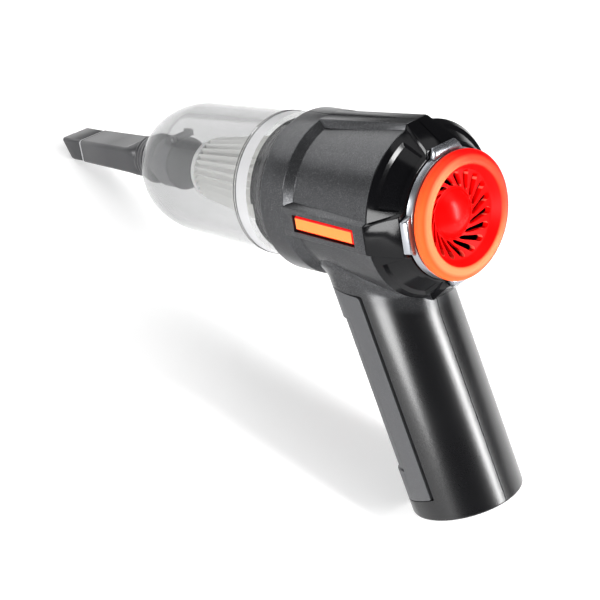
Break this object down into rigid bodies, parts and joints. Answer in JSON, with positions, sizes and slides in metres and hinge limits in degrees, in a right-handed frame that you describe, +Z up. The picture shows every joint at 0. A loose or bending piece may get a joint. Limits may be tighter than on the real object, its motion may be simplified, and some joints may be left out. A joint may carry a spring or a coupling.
{
  "type": "handheld vacuum cleaner",
  "caption": "Cordless pistol-grip hand vacuum with a clear dust cup, crevice nozzle, pleated filter and round finned exhaust at the rear.",
  "frame": {"origin": "centre of the bounding box on the floor, with the tool resting on its nozzle's lower lip and the front edge of its handle base", "axes": "+Z up, the nozzle points towards -X and down, the exhaust faces +X and up, Y is sideways; the barrel is pitched nose down by 31.7 degrees"},
  "size_m": [0.319, 0.0846, 0.1747],
  "materials": {
    "gunmetal_shell": "satin metallic-effect moulding, fine sparkle",
    "gloss_black": "high gloss moulding",
    "silver": "satin silver paint",
    "red": "gloss moulding",
    "orange": "gloss translucent-look lens",
    "panel_grey": "fine satin texture",
    "satin_black": "fine satin texture",
    "smoke_clear": "clear gloss plastic with a light smoke tint",
    "duct_grey": "satin",
    "rubber_black": "matt",
    "filter_white": "pleated paper",
    "filter_plastic": "satin",
    "steel": "turned",
    "copper_wound": "enamelled winding",
    "magnet_dark": "sintered",
    "cell_wrap": "shrink sleeve",
    "board_green": "solder mask",
    "lead_red": "insulation",
    "lead_black": "insulation"
  },
  "bodies": {
    "housing": {"housing_left": "gunmetal_shell", "housing_right": "gunmetal_shell", "rear_cover_left": "gloss_black", "rear_cover_right": "gloss_black", "vent_bezel_left": "silver", "vent_bezel_right": "silver", "exhaust_bell": "red", "side_lens_left": "orange", "side_lens_right": "orange", "front_panel": "panel_grey", "grip_strip": "satin_black", "charge_light": "orange", "grip_screw_top": "steel", "grip_screw_bottom": "steel", "barrel_screw": "steel", "filter_seat": "satin_black", "cup_seal": "rubber_black", "motor_mount": "duct_grey", "motor_can": "steel", "bearing_front": "steel", "bearing_rear": "steel", "magnet_upper": "magnet_dark", "magnet_lower": "magnet_dark", "battery_cell_left": "cell_wrap", "battery_cell_right": "cell_wrap", "battery_tray": "duct_grey", "circuit_board": "board_green", "charge_socket": "steel", "power_switch": "satin_black", "motor_lead_red": "lead_red", "motor_lead_black": "lead_black"},
    "rotor": {"motor_shaft": "steel", "armature": "copper_wound", "impeller": "duct_grey"},
    "cup": {"dust_cup": "smoke_clear", "inlet_duct": "duct_grey", "flap_pin": "steel"},
    "flap": {"inlet_flap": "rubber_black"},
    "filter": {"filter_cap": "filter_plastic", "filter_pleats": "filter_white", "filter_collar": "filter_plastic"},
    "nozzle_body": {"nozzle": "satin_black"},
    "tip": {"nozzle_tip": "satin_black"},
    "button": {"power_button": "panel_grey"}
  },
  "joints": [
    {"name": "rotor_spin", "type": "hinge", "parent": "housing", "child": "rotor", "pos_m": [0.03886, 0, 0.12252], "axis": [0.8506, 0, 0.5258], "continuous": true},
    {"name": "cup_pull", "type": "slide", "parent": "housing", "child": "cup", "axis": [-0.8506, 0, -0.5258], "range_m": [0, 0.08]},
    {"name": "flap_swing", "type": "hinge", "parent": "cup", "child": "flap", "pos_m": [-0.08594, 0, 0.06255], "axis": [0, -1, 0], "range_deg": [0, 22], "stiffness_Nm_per_rad": 0.002, "springref_deg": -2.86},
    {"name": "filter_pull", "type": "slide", "parent": "housing", "child": "filter", "axis": [-0.8506, 0, -0.5258], "range_m": [0, 0.005]},
    {"name": "nozzle_pull", "type": "slide", "parent": "cup", "child": "nozzle_body", "axis": [-0.8506, 0, -0.5258], "range_m": [0, 0.012]},
    {"name": "tip_extend", "type": "slide", "parent": "nozzle_body", "child": "tip", "axis": [-0.8506, 0, -0.5258], "range_m": [0, 0.03]},
    {"name": "button_press", "type": "slide", "parent": "housing", "child": "button", "axis": [0.6779, 0, 0.7351], "range_m": [0, 0.0015], "stiffness_N_per_m": 900, "springref_m": -0.001}
  ]
}
